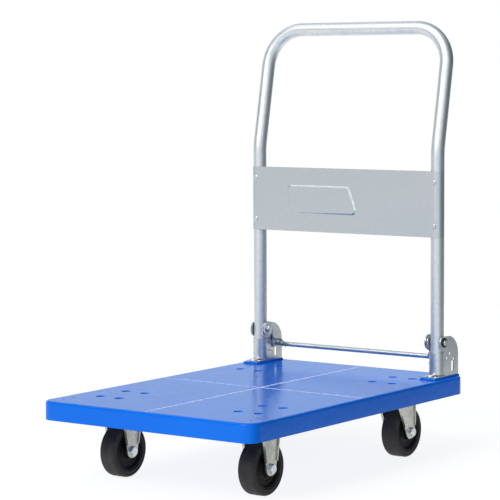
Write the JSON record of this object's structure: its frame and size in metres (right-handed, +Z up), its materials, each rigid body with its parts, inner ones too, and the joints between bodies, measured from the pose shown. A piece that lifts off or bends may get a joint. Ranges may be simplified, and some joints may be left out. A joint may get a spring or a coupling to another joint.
{
  "type": "folding platform cart",
  "caption": "Platform cart with a moulded deck, rigid front and swivel rear casters, and a push handle that folds over the deck when a foot bar is pressed",
  "frame": {"origin": "on the floor, under the middle of the deck: the bottom centre of the bounding box", "axes": "+X across the deck to the right of a person who looks from the front towards the handle, +Y along the deck towards the handle end, +Z up"},
  "size_m": [0.48, 0.72, 0.8512],
  "materials": {
    "deck_plastic": "moulded blue polypropylene, glossy with a fine grain",
    "galvanised_tube": "galvanised steel tube, satin",
    "zinc_sheet": "zinc-coated steel sheet, matt satin",
    "bracket_zinc": "zinc-plated pressed steel",
    "lever_zinc": "zinc-plated steel",
    "tyre_rubber": "dark grey rubber, matt",
    "wheel_plastic": "black moulded plastic",
    "black_nylon": "black nylon",
    "bush_bronze": "sintered bronze",
    "caster_zinc": "zinc-plated steel, slightly warm",
    "spring_steel": "spring steel wire",
    "fastener_zinc": "bright zinc-plated steel"
  },
  "bodies": {
    "deck": {"bracket_bolts": "fastener_zinc", "bracket_nuts": "fastener_zinc", "caster_bolts": "fastener_zinc", "caster_nuts": "fastener_zinc", "deck": "deck_plastic", "front_left_axle_bolt": "fastener_zinc", "front_left_axle_nut": "fastener_zinc", "front_left_axle_sleeve": "fastener_zinc", "front_left_fork": "caster_zinc", "front_left_plate": "caster_zinc", "front_right_axle_bolt": "fastener_zinc", "front_right_axle_nut": "fastener_zinc", "front_right_axle_sleeve": "fastener_zinc", "front_right_fork": "caster_zinc", "front_right_plate": "caster_zinc", "left_bracket": "bracket_zinc", "lever_springs": "spring_steel", "lever_studs": "fastener_zinc", "pivot_bushes": "black_nylon", "rear_left_kingpin": "fastener_zinc", "rear_left_plate": "caster_zinc", "rear_right_kingpin": "fastener_zinc", "rear_right_plate": "caster_zinc", "right_bracket": "bracket_zinc"},
    "handle": {"handle_tube": "galvanised_tube", "leg_plugs": "black_nylon", "handle_plate": "zinc_sheet", "plate_rivets": "fastener_zinc", "pivot_pins": "fastener_zinc", "lock_cams": "lever_zinc", "pin_nuts": "fastener_zinc"},
    "foot_release": {"release_bar": "lever_zinc", "left_release_lever": "lever_zinc", "right_release_lever": "lever_zinc"},
    "front_left_wheel": {"front_left_tyre": "tyre_rubber", "front_left_wheel_center": "wheel_plastic", "front_left_wheel_bushes": "bush_bronze"},
    "front_right_wheel": {"front_right_tyre": "tyre_rubber", "front_right_wheel_center": "wheel_plastic", "front_right_wheel_bushes": "bush_bronze"},
    "rear_left_swivel": {"rear_left_fork": "caster_zinc", "rear_left_balls": "fastener_zinc", "rear_left_dust_ring": "caster_zinc", "rear_left_axle_sleeve": "fastener_zinc", "rear_left_axle_bolt": "fastener_zinc", "rear_left_axle_nut": "fastener_zinc"},
    "rear_left_wheel": {"rear_left_tyre": "tyre_rubber", "rear_left_wheel_center": "wheel_plastic", "rear_left_wheel_bushes": "bush_bronze"},
    "rear_right_swivel": {"rear_right_fork": "caster_zinc", "rear_right_balls": "fastener_zinc", "rear_right_dust_ring": "caster_zinc", "rear_right_axle_sleeve": "fastener_zinc", "rear_right_axle_bolt": "fastener_zinc", "rear_right_axle_nut": "fastener_zinc"},
    "rear_right_wheel": {"rear_right_tyre": "tyre_rubber", "rear_right_wheel_center": "wheel_plastic", "rear_right_wheel_bushes": "bush_bronze"}
  },
  "joints": [
    {"name": "handle_fold", "type": "hinge", "parent": "deck", "child": "handle", "pos_m": [0, 0.298, 0.224], "axis": [1, 0, 0], "range_deg": [0, 98]},
    {"name": "foot_release", "type": "hinge", "parent": "deck", "child": "foot_release", "pos_m": [0, 0.324, 0.194], "axis": [-1, 0, 0], "range_deg": [0, 25], "stiffness_Nm_per_rad": 0.6, "springref_deg": -28.65, "deforming": ["lever_springs"]},
    {"name": "front_left_spin", "type": "hinge", "parent": "deck", "child": "front_left_wheel", "pos_m": [-0.1585, -0.22, 0.05], "axis": [1, 0, 0], "continuous": true},
    {"name": "front_right_spin", "type": "hinge", "parent": "deck", "child": "front_right_wheel", "pos_m": [0.1585, -0.22, 0.05], "axis": [1, 0, 0], "continuous": true},
    {"name": "rear_left_swivel", "type": "hinge", "parent": "deck", "child": "rear_left_swivel", "pos_m": [-0.1585, 0.22, 0.1175], "axis": [0, 0, 1], "continuous": true},
    {"name": "rear_left_spin", "type": "hinge", "parent": "rear_left_swivel", "child": "rear_left_wheel", "pos_m": [-0.1585, 0.253, 0.05], "axis": [1, 0, 0], "continuous": true},
    {"name": "rear_right_swivel", "type": "hinge", "parent": "deck", "child": "rear_right_swivel", "pos_m": [0.1585, 0.22, 0.1175], "axis": [0, 0, 1], "continuous": true},
    {"name": "rear_right_spin", "type": "hinge", "parent": "rear_right_swivel", "child": "rear_right_wheel", "pos_m": [0.1585, 0.253, 0.05], "axis": [1, 0, 0], "continuous": true}
  ]
}
